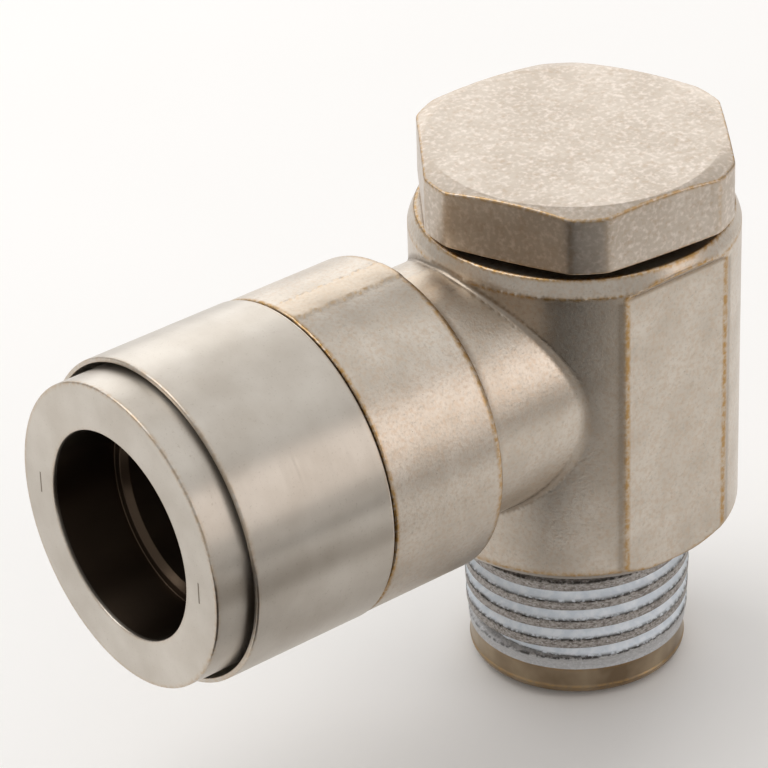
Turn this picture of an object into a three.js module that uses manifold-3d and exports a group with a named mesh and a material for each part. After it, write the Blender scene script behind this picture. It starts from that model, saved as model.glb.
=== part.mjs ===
// Swivelling banjo elbow: a hex-headed hollow bolt with a taper pipe thread holds a forged brass body,
// which turns on the bolt and carries a push-in port for a 10 mm tube.
// Millimetres, +Z up. The origin is on the bolt's axis at the tip of its thread.
// The arm points along -X.
import * as THREE from "three";
import { mergeVertices } from "three/addons/utils/BufferGeometryUtils.js";
import Module from "manifold-3d";

const wasm = await Module();
wasm.setup();

// ---- Driving dimensions -------------------------------------------------------------------------

const FINE = 48; // facets round the turned pieces that show
const PLAIN = 36; // facets round the hidden ones
const SLIP = 0.1; // gap between pieces that lie against each other

// The head: across flats and turned corners, its two heights, its turn in degrees, the flat disc on
// its top, the slope of the bevel round that disc, and the height of the bevel below.
const HEX = {
  flats: 17,
  corners: 18.54,
  bottom: 29.5,
  top: 33.22,
  turned: -5.8,
  face: 8.3,
  slope: 16,
  under: 0.1,
};
// R1/4: the gauge plane is 7 mm above the tip, and the diameter grows by 1 mm in 16.
const THREAD = {
  major: 13.157,
  pitch: 1.337,
  depth: 0.856,
  start: 2.05,
  end: 8.9,
  gauge: 7,
  taper: 1 / 32,
};
const RUN_IN = 0.75; // how far above its first cut the thread's ridge starts
// Half widths of the ridge at its base, low on its flank and at its crest, as shares of the pitch.
const RIDGE = { base: 0.44, flank: 0.39, crest: 0.08, sunk: 0.15 };
// The dried resin: how far it stays off the root and below the crest, and its two half widths.
const RESIN = { offRoot: 0.14, belowCrest: 0.12, narrow: 0.05, wide: 0.44 };
const TIP = { radius: 6.3, bevel: 0.48, neck: 0.3 };
// The waist lets the flow pass from the cross holes to the arm in any turn of the body.
const SHANK = {
  radius: 6.8,
  waist: 5.6,
  waistHalf: 3.8,
  ramp: 0.6,
  bore: 3.75,
  boreTop: 24.6,
  drillPoint: 0.6,
  crossHole: 2.2,
};
const SEAL_GROOVE = { radius: 5.7, width: 2, upper: 26.6, lower: 13.4 };
const CLIP = { inner: 6.3, outer: 7.75, bottom: 9.8, top: 10.7, gap: 4 };

const BODY = { radius: 9.3, bottom: 9.55, top: 29.14, bore: 6.9, flats: 17.1, flatTop: 27.83 };
const BODY_RIM = { radius: 8.88, drop: 0.9, lowBevel: 0.7 };
const ARM_Z = 20.59; // height of the arm's axis
const NECK = 7.4; // radius of the arm between the boss and the swivel barrel
const BOSS = { radius: 9.17, back: -12.83, front: -20.38, round: 0.5, fillet: 1.3 };
const SPIGOT = { radius: 8.2, front: -22.6 };
const SOCKET = { radius: 7.45, bottom: -14.6, tube: 5.15, stop: -11, flow: 4 };

// The mouth of the sleeve takes the flange of the release ring; its lip keeps the ring in.
const SLEEVE = {
  radius: 9.23,
  front: -29.59,
  back: -20.48,
  mouth: 8.95,
  mouthDepth: 3.3,
  lip: 7.1,
  lipBack: -25.2,
};
const RING = { radius: 8.66, front: -31.78, flange: 3.48, mouth: 5.95, mouthDepth: 4.05, bore: 5.19 };
const NOSE = { radius: 6.95, barb: 7.3, barbFront: -25.1, barbBack: -24.5, tip: 6.4, back: -24.1 };
const TURNED_EDGE = 0.15; // chamfer on the edges of the turned pieces
const CLAW = { rim: 8.1, fold: 7, tip: 4.8, tipX: -20.9, gauge: 0.35, teeth: 10, slot: 0.7 };
// The two rings behind the claws, from front to back, and how far each stands off the tube.
const GUIDE = { back: -19.3, gap: 0.15, seat: 0.25 };
const RUBBER = { front: -19.15, gap: 0.05, corner: 0.5, hollow: 0.5, half: 0.9 };

// ---- Making solids ------------------------------------------------------------------------------

/** Turns a geometry into a manifold-3d solid, with its shared vertices merged. */
function solidOf(geometry) {
  const bare = geometry.clone();
  for (const name of ["normal", "uv"]) if (bare.getAttribute(name)) bare.deleteAttribute(name);
  const merged = mergeVertices(bare, 1e-4);
  return new wasm.Manifold(
    new wasm.Mesh({
      numProp: 3,
      vertProperties: new Float32Array(merged.getAttribute("position").array),
      triVerts: new Uint32Array(merged.index.array),
    }),
  );
}

/** Turns a manifold-3d solid back into a geometry. */
function geometryOf(solid) {
  const made = solid.getMesh();
  const geometry = new THREE.BufferGeometry();
  geometry.setAttribute("position", new THREE.BufferAttribute(made.vertProperties, 3));
  geometry.setIndex(new THREE.BufferAttribute(made.triVerts, 1));
  return geometry;
}

/** Cuts each tool out of the blank. Both are geometries. */
function cut(blank, ...tools) {
  return geometryOf(tools.reduce((solid, tool) => solid.subtract(solidOf(tool)), solidOf(blank)));
}

/** Joins geometries into one. */
function join(first, ...others) {
  return geometryOf(others.reduce((solid, other) => solid.add(solidOf(other)), solidOf(first)));
}

/** Keeps what two geometries share. */
function common(first, second) {
  return geometryOf(solidOf(first).intersect(solidOf(second)));
}

/** A quarter turn of a rounded edge, as [radius, height] points about a centre, angles in degrees. */
function arc(centre, radius, from, to, steps = 4) {
  return Array.from({ length: steps + 1 }, (_, i) => {
    const angle = THREE.MathUtils.degToRad(from + ((to - from) * i) / steps);
    return [centre[0] + radius * Math.cos(angle), centre[1] + radius * Math.sin(angle)];
  });
}

/** A solid of revolution about Y from [radius, height] points; its profile is closed for it. */
function turned(profile, facets) {
  const points = profile.map(([radius, height]) => new THREE.Vector2(radius, height));
  if (THREE.ShapeUtils.area(points) < 0) points.reverse();
  const onAxis = points.findIndex((point, i) => point.x === 0 && points.at(i - 1).x === 0);
  if (onAxis < 0) return new THREE.LatheGeometry([...points, points[0].clone()], facets);
  return new THREE.LatheGeometry([...points.slice(onAxis), ...points.slice(0, onAxis)], facets);
}

/** A turned piece on the bolt's axis; heights are Z. */
function onBolt(profile, facets = FINE) {
  return turned(profile, facets).rotateX(Math.PI / 2);
}

/** A turned piece on the arm's axis; heights are X. */
function onArm(profile, facets = FINE) {
  return turned(profile, facets).rotateZ(-Math.PI / 2).translate(0, 0, ARM_Z);
}

/** A ring of rectangular section, as a profile. */
function band(inner, outer, from, to) {
  return [
    [inner, from],
    [outer, from],
    [outer, to],
    [inner, to],
  ];
}

/** The major radius of the taper thread at height z. */
function threadRadius(z) {
  return THREAD.major / 2 + (z - THREAD.gauge) * THREAD.taper;
}

/**
 * A section swept along the thread's helix. Sections are lists of [distance below the crest, offset
 * along the axis], and the piece shrinks to the section named ending over its first and last half turn.
 */
function alongThread(section, ending, from, to) {
  const perTurn = FINE / 2;
  const steps = Math.round(((to - from) / THREAD.pitch) * perTurn);
  const corners = [];
  for (let i = 0; i <= steps; i++) {
    const z = from + (THREAD.pitch * i) / perTurn;
    const angle = (2 * Math.PI * i) / perTurn;
    const runOut = Math.max(0, 1 - Math.min(i, steps - i) / (perTurn / 2));
    section.forEach(([below, along], j) => {
      const radius = threadRadius(z) - THREE.MathUtils.lerp(below, ending[j][0], runOut);
      const height = z + THREE.MathUtils.lerp(along, ending[j][1], runOut);
      corners.push(radius * Math.cos(angle), radius * Math.sin(angle), height);
    });
  }
  const sides = section.length;
  const faces = [];
  for (let i = 0; i < steps; i++) {
    for (let j = 0; j < sides; j++) {
      const [a, b] = [i * sides + j, i * sides + ((j + 1) % sides)];
      faces.push(a, a + sides, b, b, a + sides, b + sides);
    }
  }
  for (let j = 1; j < sides - 1; j++) {
    const last = steps * sides;
    faces.push(0, j, j + 1, last, last + j + 1, last + j);
  }
  const geometry = new THREE.BufferGeometry();
  geometry.setAttribute("position", new THREE.Float32BufferAttribute(corners, 3));
  geometry.setIndex(faces);
  return geometry;
}

/** A cylinder between two points on a line along X or Y at height z. */
function crossDrill(radius, length, z, alongY) {
  const drill = new THREE.CylinderGeometry(radius, radius, length, 20);
  return (alongY ? drill : drill.rotateZ(Math.PI / 2)).translate(0, 0, z);
}

// ---- Materials ----------------------------------------------------------------------------------

const metal = (color, roughness) => new THREE.MeshStandardMaterial({ color, roughness, metalness: 1 });
const rubber = () => new THREE.MeshStandardMaterial({ color: 0x1d1d1f, roughness: 0.65, metalness: 0 });
const satinNickel = () => metal(0xb7ada0, 0.34);
const forgedNickel = () => metal(0xafa596, 0.42);
const stainless = () => metal(0xc4c4c2, 0.25);
const resin = () => new THREE.MeshStandardMaterial({ color: 0xc9cdd8, roughness: 0.6, metalness: 0 });

// ---- The bolt and what stays on it --------------------------------------------------------------

/** The hexagonal head, with its corners turned down and its top bevelled. */
function boltHead() {
  const corner = HEX.corners / 2;
  const slope = Math.tan(THREE.MathUtils.degToRad(HEX.slope));
  const hexagon = new THREE.CylinderGeometry(
    HEX.flats / Math.sqrt(3),
    HEX.flats / Math.sqrt(3),
    HEX.top - HEX.bottom,
    6,
  )
    .rotateX(Math.PI / 2)
    .translate(0, 0, (HEX.top + HEX.bottom) / 2)
    .rotateZ(THREE.MathUtils.degToRad(HEX.turned));
  const blank = onBolt([
    [0, HEX.bottom - 1],
    [HEX.face, HEX.bottom - 1],
    [HEX.face, HEX.bottom],
    [corner, HEX.bottom + HEX.under],
    [corner, HEX.top - (corner - HEX.face) * slope],
    [HEX.face, HEX.top],
    [0, HEX.top],
  ]);
  return common(hexagon, blank);
}

/** The turned shank: waist and seal grooves, clip groove, thread core, plain tip, and the blind bore. */
function boltShank() {
  const root = (z) => threadRadius(z) - THREAD.depth;
  const groove = (middle) => [
    [SHANK.radius, middle - SEAL_GROOVE.width / 2],
    [SEAL_GROOVE.radius, middle - SEAL_GROOVE.width / 2],
    [SEAL_GROOVE.radius, middle + SEAL_GROOVE.width / 2],
    [SHANK.radius, middle + SEAL_GROOVE.width / 2],
  ];
  return onBolt([
    [0, SHANK.boreTop],
    [SHANK.bore, SHANK.boreTop - SHANK.bore * SHANK.drillPoint],
    [SHANK.bore, TIP.bevel],
    [SHANK.bore + TIP.bevel, 0],
    [TIP.radius - TIP.bevel, 0],
    [TIP.radius, TIP.bevel],
    [TIP.radius, THREAD.start - TIP.neck],
    [root(THREAD.start), THREAD.start],
    [root(THREAD.end), THREAD.end],
    [SHANK.radius, CLIP.bottom - SLIP - 0.3],
    [SHANK.radius, CLIP.bottom - SLIP],
    [CLIP.inner - SLIP, CLIP.bottom - SLIP],
    [CLIP.inner - SLIP, CLIP.top + SLIP],
    [SHANK.radius, CLIP.top + SLIP],
    ...groove(SEAL_GROOVE.lower),
    [SHANK.radius, ARM_Z - SHANK.waistHalf - SHANK.ramp],
    [SHANK.waist, ARM_Z - SHANK.waistHalf],
    [SHANK.waist, ARM_Z + SHANK.waistHalf],
    [SHANK.radius, ARM_Z + SHANK.waistHalf + SHANK.ramp],
    ...groove(SEAL_GROOVE.upper),
    [SHANK.radius, HEX.bottom + 0.5],
    [0, HEX.bottom + 0.5],
  ]);
}

/** The ridge of the 55 degree taper thread, sunk a little into the core. */
function threadRidge() {
  const [base, flank, crest] = [RIDGE.base, RIDGE.flank, RIDGE.crest].map((share) => share * THREAD.pitch);
  const section = [
    [THREAD.depth + RIDGE.sunk, base],
    [THREAD.depth + RIDGE.sunk, -base],
    [THREAD.depth * 0.9, -flank],
    [0, -crest],
    [0, crest],
    [THREAD.depth * 0.9, flank],
  ];
  const ending = section.map(([below, along]) => [Math.max(below, THREAD.depth * 0.95), along]);
  return alongThread(section, ending, THREAD.start + RUN_IN, THREAD.end - SLIP);
}

/** The hollow bolt: head, shank and thread as one piece, cross-drilled at the arm's height. */
function hollowBolt() {
  const drills = [false, true].map((alongY) => crossDrill(SHANK.crossHole, 20, ARM_Z, alongY));
  return cut(join(boltShank(), boltHead(), threadRidge()), ...drills);
}

/** The bead of dried sealing resin that lies in the thread's groove. */
function threadSealant() {
  const middle = THREAD.pitch / 2;
  const deep = THREAD.depth - RESIN.offRoot;
  const section = [
    [deep, middle + RESIN.narrow],
    [deep, middle - RESIN.narrow],
    [RESIN.belowCrest, middle - RESIN.wide],
    [RESIN.belowCrest, middle + RESIN.wide],
  ];
  const ending = section.map(([below, along]) => [
    Math.max(below, deep - 0.1),
    THREE.MathUtils.clamp(along, middle - RESIN.narrow, middle + RESIN.narrow),
  ]);
  return alongThread(section, ending, THREAD.start + RUN_IN, THREAD.end - THREAD.pitch - SLIP);
}

/** An O-ring as squeezed in its groove: flatter than it is wide. */
function shankSeal(height) {
  const [inner, outer] = [SEAL_GROOVE.radius + 0.06, BODY.bore - 0.04];
  const middle = (inner + outer) / 2;
  const section = arc([0, 0], 1, 0, 315, 7).map(([across, along]) => [
    middle + (across * (outer - inner)) / 2,
    height + along * (SEAL_GROOVE.width / 2 - 0.15),
  ]);
  return onBolt(section, PLAIN);
}

/** The open snap ring that keeps the body on the bolt. */
function retainingClip() {
  const slot = new THREE.BoxGeometry(6, CLIP.gap, 4).translate(-CLIP.outer, 0, CLIP.bottom);
  return cut(onBolt(band(CLIP.inner, CLIP.outer, CLIP.bottom, CLIP.top), PLAIN), slot);
}

// ---- The body and what is pressed into it -------------------------------------------------------

/** A block that mills one wrench flat: it leaves at 45 degrees below the body's rim. */
function flatCutter(side) {
  const [plane, far] = [BODY.flats / 2, BODY.radius + 3];
  const outline = new THREE.Shape();
  outline.moveTo(plane, BODY.bottom - 2);
  outline.lineTo(far, BODY.bottom - 2);
  outline.lineTo(far, BODY.flatTop + far - plane);
  outline.lineTo(plane, BODY.flatTop);
  outline.closePath();
  const block = new THREE.ExtrudeGeometry(outline, { depth: 2 * BODY.radius, bevelEnabled: false });
  block.translate(0, 0, -BODY.radius).rotateX(Math.PI / 2);
  return block.rotateZ((side * Math.PI) / 2);
}

/** The forged body: an upright barrel with two wrench flats, a neck, a round boss and its spigot. */
function banjoBody() {
  const barrel = onBolt([
    [0, BODY.bottom],
    [BODY.radius - BODY_RIM.lowBevel, BODY.bottom],
    [BODY.radius, BODY.bottom + BODY_RIM.lowBevel],
    [BODY.radius, BODY.top - BODY_RIM.drop],
    [BODY_RIM.radius, BODY.top],
    [0, BODY.top],
  ]);
  const arm = onArm([
    [0, SPIGOT.front],
    [SPIGOT.radius, SPIGOT.front],
    [SPIGOT.radius, BOSS.front],
    [BOSS.radius, BOSS.front],
    ...arc([BOSS.radius - BOSS.round, BOSS.back - BOSS.round], BOSS.round, 0, 90, 3),
    ...arc([NECK + BOSS.fillet, BOSS.back + BOSS.fillet], BOSS.fillet, 270, 180),
    [NECK, -2],
    [0, -2],
  ]);
  const boltHole = onBolt(band(0, BODY.bore, BODY.bottom - 1, BODY.top + 1));
  const clipRecess = onBolt(band(0, CLIP.outer + 0.15, BODY.bottom - 1, CLIP.top + SLIP));
  const seat = onArm([
    [0, SPIGOT.front - 1],
    [SOCKET.radius, SPIGOT.front - 1],
    [SOCKET.radius, SOCKET.bottom],
    [SOCKET.tube, SOCKET.bottom],
    [SOCKET.tube, SOCKET.stop],
    [SOCKET.flow, SOCKET.stop],
    [SOCKET.flow, 0],
    [0, 0],
  ]);
  return cut(join(barrel, arm), boltHole, clipRecess, seat, flatCutter(1), flatCutter(-1));
}

/** The turned sleeve pressed over the spigot; its inner lip holds the release ring. */
function outerSleeve() {
  const grip = SPIGOT.radius + SLIP;
  const clawFace = SPIGOT.front - CLAW.gauge - SLIP;
  return onArm([
    [SLEEVE.mouth, SLEEVE.front],
    [SLEEVE.radius - TURNED_EDGE, SLEEVE.front],
    [SLEEVE.radius, SLEEVE.front + TURNED_EDGE],
    [SLEEVE.radius, SLEEVE.back - TURNED_EDGE],
    [SLEEVE.radius - TURNED_EDGE, SLEEVE.back],
    [grip, SLEEVE.back],
    [grip, clawFace],
    [SOCKET.radius + 0.2, clawFace],
    [SOCKET.radius + 0.2, SLEEVE.lipBack],
    [SLEEVE.lip, SLEEVE.lipBack],
    [SLEEVE.lip, SLEEVE.front + SLEEVE.mouthDepth],
    [SLEEVE.mouth, SLEEVE.front + SLEEVE.mouthDepth],
  ]);
}

/** The slope of the claws, in millimetres of X for each millimetre of radius. */
const CLAW_SLOPE = (CLAW.tipX - SPIGOT.front) / (CLAW.fold - CLAW.tip);

/** The ring that carries the claws and centres the tube. */
function guideRing() {
  const [outer, inner, back] = [SOCKET.radius - SLIP, SOCKET.tube + GUIDE.gap, GUIDE.back];
  const faceAt = (radius) => SPIGOT.front + GUIDE.seat + (CLAW.fold - radius) * CLAW_SLOPE;
  return onArm(
    [
      [inner, back],
      [outer, back],
      [outer, faceAt(CLAW.fold)],
      [CLAW.fold, faceAt(CLAW.fold)],
      [inner, faceAt(inner)],
    ],
    PLAIN,
  );
}

/** The moulded rubber sleeve that seals on the tube, with a lip at each end. */
function elasticSleeve() {
  const [outer, inner] = [SOCKET.radius - SLIP, SOCKET.tube + RUBBER.gap];
  const [front, back] = [RUBBER.front, SOCKET.bottom - SLIP];
  const middle = (front + back) / 2;
  return onArm(
    [
      [inner, front],
      [outer - RUBBER.corner, front],
      [outer, front + RUBBER.corner],
      [outer, back - RUBBER.corner],
      [outer - RUBBER.corner, back],
      [inner, back],
      [inner + RUBBER.hollow, middle + RUBBER.half],
      [inner + RUBBER.hollow, middle - RUBBER.half],
    ],
    PLAIN,
  );
}

/** The stainless claws: a flat rim, and teeth that slope in to bite the tube. */
function lockClaws() {
  const [rimFront, rimBack] = [SPIGOT.front - CLAW.gauge, SPIGOT.front - SLIP / 2];
  const blank = onArm(
    [
      [CLAW.rim, rimFront],
      [CLAW.rim, rimBack],
      [CLAW.fold, rimBack],
      [CLAW.tip, CLAW.tipX],
      [CLAW.tip, CLAW.tipX - CLAW.gauge],
      [CLAW.fold, rimFront],
    ],
    CLAW.teeth * 4,
  );
  const reach = CLAW.fold - 0.3;
  const slots = Array.from({ length: CLAW.teeth }, (_, i) =>
    new THREE.BoxGeometry(6, CLAW.slot, reach)
      .translate(CLAW.tipX, 0, reach / 2)
      .rotateX((2 * Math.PI * (i + 0.5)) / CLAW.teeth)
      .translate(0, 0, ARM_Z),
  );
  return cut(blank, ...slots);
}

/** The release ring: a flange to press, a stepped mouth, and a nose that opens the claws. */
function releaseRing() {
  const flangeBack = RING.front + RING.flange;
  const step = RING.front + RING.mouthDepth;
  return onArm([
    [RING.mouth, RING.front],
    [RING.radius - TURNED_EDGE, RING.front],
    [RING.radius, RING.front + TURNED_EDGE],
    [RING.radius, flangeBack],
    [NOSE.radius, flangeBack],
    [NOSE.radius, NOSE.barbFront],
    [NOSE.barb, NOSE.barbFront],
    [NOSE.radius, NOSE.barbBack],
    [NOSE.tip, NOSE.back],
    [RING.bore + 0.3, NOSE.back],
    [RING.bore, NOSE.back - 0.3],
    [RING.bore, step + 0.4],
    [RING.bore + 0.4, step],
    [RING.mouth, step],
  ]);
}

// ---- The assembly -------------------------------------------------------------------------------

/** Adds one named piece to a group. */
function add(group, name, geometry, material) {
  const mesh = new THREE.Mesh(geometry, material);
  mesh.name = name;
  group.add(mesh);
}

const bolt = new THREE.Group();
add(bolt, "hollow_bolt", hollowBolt(), satinNickel());
add(bolt, "thread_sealant", threadSealant(), resin());
add(bolt, "upper_o_ring", shankSeal(SEAL_GROOVE.upper), rubber());
add(bolt, "lower_o_ring", shankSeal(SEAL_GROOVE.lower), rubber());
add(bolt, "retaining_ring", retainingClip(), stainless());

const swivel = new THREE.Group();
add(swivel, "banjo_body", banjoBody(), forgedNickel());
add(swivel, "outer_sleeve", outerSleeve(), satinNickel());
add(swivel, "guide_ring", guideRing(), satinNickel());
add(swivel, "elastic_sleeve", elasticSleeve(), rubber());
add(swivel, "lock_claws", lockClaws(), stainless());
add(swivel, "release_ring", releaseRing(), satinNickel());

const elbow = new THREE.Group();
elbow.add(bolt, swivel);
export default elbow;
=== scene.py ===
"""The looks of a swivelling push-in banjo elbow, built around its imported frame.

Sizes are in millimetres until a mesh is made; every Blender object is in metres, in the frame's own
place. Each sub-assembly is a class that holds its sizes, makes its meshes and dresses them; each
finish is a small frozen dataclass that builds one material.
"""

import logging  # noqa: E402
import math  # noqa: E402
from dataclasses import dataclass, field  # noqa: E402
from enum import Enum  # noqa: E402
from typing import Optional, Sequence  # noqa: E402

import bpy  # noqa: E402
import numpy as np  # noqa: E402
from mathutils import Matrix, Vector  # noqa: E402


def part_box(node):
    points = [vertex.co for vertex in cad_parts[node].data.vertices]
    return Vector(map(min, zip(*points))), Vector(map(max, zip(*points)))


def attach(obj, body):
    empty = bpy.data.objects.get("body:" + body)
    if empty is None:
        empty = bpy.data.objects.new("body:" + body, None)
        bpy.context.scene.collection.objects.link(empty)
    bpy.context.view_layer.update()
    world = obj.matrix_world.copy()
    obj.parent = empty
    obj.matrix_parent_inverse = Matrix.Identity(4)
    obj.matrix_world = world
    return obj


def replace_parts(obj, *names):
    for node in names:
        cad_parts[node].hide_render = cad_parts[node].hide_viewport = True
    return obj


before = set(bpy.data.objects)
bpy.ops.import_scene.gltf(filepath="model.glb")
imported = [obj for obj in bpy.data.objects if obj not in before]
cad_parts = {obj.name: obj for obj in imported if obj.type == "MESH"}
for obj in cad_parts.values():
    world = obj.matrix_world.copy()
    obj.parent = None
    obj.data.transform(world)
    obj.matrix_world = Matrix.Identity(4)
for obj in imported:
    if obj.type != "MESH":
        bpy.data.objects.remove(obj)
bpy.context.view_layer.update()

log = logging.getLogger("banjo_elbow")

MM = 0.001  # metres in a millimetre


def box_mm(node: str) -> tuple[np.ndarray, np.ndarray]:
    """Gives a frame node's box.

    Args:
        node: the node's name.

    Returns:
        Its lowest and highest corners, in millimetres.
    """
    low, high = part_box(node)
    return np.array(low) / MM, np.array(high) / MM


SLEEVE_BOX = box_mm("outer_sleeve")
ARM_Z = float(SLEEVE_BOX[0][2] + SLEEVE_BOX[1][2]) / 2


# ---- Meshes -------------------------------------------------------------------------------------


@dataclass
class Skin:
    """A closed surface before it becomes a mesh.

    Attributes:
        points: one row of x, y, z for each vertex, in millimetres.
        faces: lists of vertex numbers, seen anticlockwise from outside.
        normals: one unit row for each vertex.
        masks: named values from 0 to 1 for each vertex, which the materials read.
        slots: the material number of each face, or None where there is only one.
    """

    points: np.ndarray
    faces: list
    normals: np.ndarray
    masks: dict[str, np.ndarray] = field(default_factory=dict)
    slots: Optional[np.ndarray] = None

    def make(
        self, name: str, body: str, slot: str, materials: Sequence[bpy.types.Material]
    ) -> bpy.types.Object:
        """Makes the Blender object and lets it ride on its body.

        Args:
            name: the piece's name.
            body: the frame body that carries it.
            slot: the record's material slot; not used.
            materials: the materials, in the order of the slots.

        Returns:
            The new object.
        """
        mesh = bpy.data.meshes.new(name)
        mesh.from_pydata((self.points * MM).tolist(), [], self.faces)
        for material in materials:
            mesh.materials.append(material)
        if self.slots is not None:
            mesh.polygons.foreach_set("material_index", self.slots.astype(np.int32))
        for key, values in self.masks.items():
            layer = mesh.attributes.new(key, "FLOAT", "POINT")
            layer.data.foreach_set("value", values.astype(np.float32))
        mesh.polygons.foreach_set("use_smooth", np.ones(len(mesh.polygons), bool))
        mesh.normals_split_custom_set_from_vertices(self.normals.tolist())
        mesh.update()
        piece = bpy.data.objects.new(name, mesh)
        bpy.context.scene.collection.objects.link(piece)
        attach(piece, body)
        log.info("%s: %d faces, on %s", name, len(mesh.polygons), body)
        return piece


@dataclass(frozen=True)
class Corner:
    """One corner of a turned outline.

    Attributes:
        across: distance from the axis.
        along: place along the axis.
        round: radius of the rounding.
        wear: how far the finish is rubbed off it, from 0 to 1.
    """

    across: float
    along: float
    round: float = 0.05
    wear: float = 0.0


@dataclass
class Outline:
    """A rounded outline as points, with their outward normals and wear."""

    across: np.ndarray
    along: np.ndarray
    normal_across: np.ndarray
    normal_along: np.ndarray
    wear: np.ndarray


def rounded(corners: Sequence[Corner], steps: int = 4, spread: float = 0.16) -> Outline:
    """Rounds each corner of a closed outline that runs anticlockwise, with the axis on its left side.

    Args:
        corners: the outline's corners; the last one joins the first.
        steps: flats in each rounding.
        spread: how far wear fades out along the flats beside a corner.

    Returns:
        The rounded outline.
    """
    rows: list[tuple[float, ...]] = []
    count = len(corners)
    for i, corner in enumerate(corners):
        here = np.array([corner.across, corner.along])
        before, after = corners[i - 1], corners[(i + 1) % count]
        back = np.array([before.across, before.along]) - here
        forth = np.array([after.across, after.along]) - here
        back_length, forth_length = np.linalg.norm(back), np.linalg.norm(forth)
        back, forth = back / back_length, forth / forth_length
        turn = math.pi - math.acos(float(np.clip(back @ forth, -1, 1)))
        cut = min(corner.round * math.tan(turn / 2), 0.45 * back_length, 0.45 * forth_length)
        first_normal, last_normal = np.array([-back[1], back[0]]), np.array([forth[1], -forth[0]])
        start, end = here + back * cut, here + forth * cut
        room = 0.45 * back_length
        if corner.wear and cut + spread < room:
            rows.append((*(here + back * (cut + spread)), *first_normal, 0.0))
        for j in range(steps + 1):
            share = j / steps
            normal = first_normal * (1 - share) + last_normal * share
            normal /= np.linalg.norm(normal)
            place = (1 - share) ** 2 * start + 2 * share * (1 - share) * here + share**2 * end
            rows.append((*place, *normal, corner.wear * (0.55 + 0.45 * math.sin(math.pi * share))))
        room = 0.45 * forth_length
        if corner.wear and cut + spread < room:
            rows.append((*(here + forth * (cut + spread)), *last_normal, 0.0))
    return Outline(*np.array(rows).T)


class Axis(Enum):
    """The line that a piece is turned about."""

    BOLT = "bolt"
    ARM = "arm"

    def place(self, across: np.ndarray, along: np.ndarray, angle: np.ndarray) -> np.ndarray:
        """Puts cylindrical coordinates in the frame; directions need no height.

        Args:
            across: distance from the axis.
            along: place along the axis: Z on the bolt, X on the arm.
            angle: angle about the axis, in radians.

        Returns:
            Rows of x, y, z about the axis at height 0.
        """
        if self is Axis.BOLT:
            return np.stack([across * np.cos(angle), across * np.sin(angle), along + 0 * angle], -1)
        return np.stack([along + 0 * angle, across * np.cos(angle), across * np.sin(angle)], -1)

    def lift(self) -> np.ndarray:
        """Gives the offset of the axis from the frame's origin."""
        return np.array([0, 0, ARM_Z if self is Axis.ARM else 0.0])


def grid_faces(stations: int, columns: int, closed: bool) -> list:
    """Joins a grid of vertices, stations by columns, into quads that close round the columns.

    Args:
        stations: rows along the outline.
        columns: vertices round the axis.
        closed: whether the last station joins the first; otherwise the first and the last one are
            single points on the axis.

    Returns:
        The faces; a pole's faces are triangles from its first vertex.
    """
    i = np.arange(stations if closed else stations - 1)[:, None]
    j = np.arange(columns)[None, :]
    after, beside = (i + 1) % stations, (j + 1) % columns
    corners = [i * columns + j, i * columns + beside, after * columns + beside, after * columns + j]
    quads = np.stack(np.broadcast_arrays(*corners), -1).reshape(-1, 4).tolist()
    if not closed:
        quads[:columns] = [[0, q[2], q[3]] for q in quads[:columns]]
        pole = (stations - 1) * columns
        quads[-columns:] = [[q[0], q[1], pole] for q in quads[-columns:]]
    return quads


def trimmed(skin: Skin) -> Skin:
    """Drops vertices that no face uses, such as the spare ones of a pole."""
    used = np.unique(np.concatenate([np.array(face) for face in skin.faces]))
    if len(used) == len(skin.points):
        return skin
    renumber = np.zeros(len(skin.points), int)
    renumber[used] = np.arange(len(used))
    faces = [renumber[face].tolist() for face in skin.faces]
    masks = {key: values[used] for key, values in skin.masks.items()}
    return Skin(skin.points[used], faces, skin.normals[used], masks, skin.slots)


def turned(outline: Outline, axis: Axis, columns: int = 192) -> Skin:
    """Turns a closed outline about an axis, with exact normals.

    Args:
        outline: the rounded outline.
        axis: the line it turns about.
        columns: vertices round the axis.

    Returns:
        The closed surface.
    """
    angle = np.linspace(0, 2 * math.pi, columns, endpoint=False)[None, :]
    wide = (outline.across[:, None], outline.along[:, None])
    points = axis.place(*wide, angle) + axis.lift()
    normals = axis.place(outline.normal_across[:, None], outline.normal_along[:, None], angle)
    faces = grid_faces(len(outline.across), columns, closed=True)
    wear = np.repeat(outline.wear, columns)
    return Skin(points.reshape(-1, 3), faces, normals.reshape(-1, 3), {"wear": wear})


def surface_normals(grid: np.ndarray) -> np.ndarray:
    """Works out normals on a grid of points, stations by columns, that closes round its columns."""
    along = np.gradient(grid, axis=0)
    around = np.roll(grid, -1, axis=1) - np.roll(grid, 1, axis=1)
    normals = np.cross(around, along)
    length = np.linalg.norm(normals, axis=-1, keepdims=True)
    return normals / np.maximum(length, 1e-9)


def soft_min(a: np.ndarray, b: np.ndarray, blend: float) -> np.ndarray:
    """The smaller of two fields, with a smooth joint as wide as blend."""
    share = np.maximum(blend - np.abs(a - b), 0) / blend
    return np.minimum(a, b) - share * share * blend / 4


def soft_max(a: np.ndarray, b: np.ndarray, blend: float) -> np.ndarray:
    """The larger of two fields, with a smooth joint as wide as blend."""
    return -soft_min(-a, -b, blend)


# ---- Colours and materials ----------------------------------------------------------------------


def srgb(hex_colour: str) -> tuple[float, float, float, float]:
    """Turns an sRGB hex colour such as #b7ada0 into linear red, green, blue and alpha."""
    parts = [int(hex_colour[i : i + 2], 16) / 255 for i in (1, 3, 5)]
    linear = [c / 12.92 if c <= 0.04045 else ((c + 0.055) / 1.055) ** 2.4 for c in parts]
    return (linear[0], linear[1], linear[2], 1.0)


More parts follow.
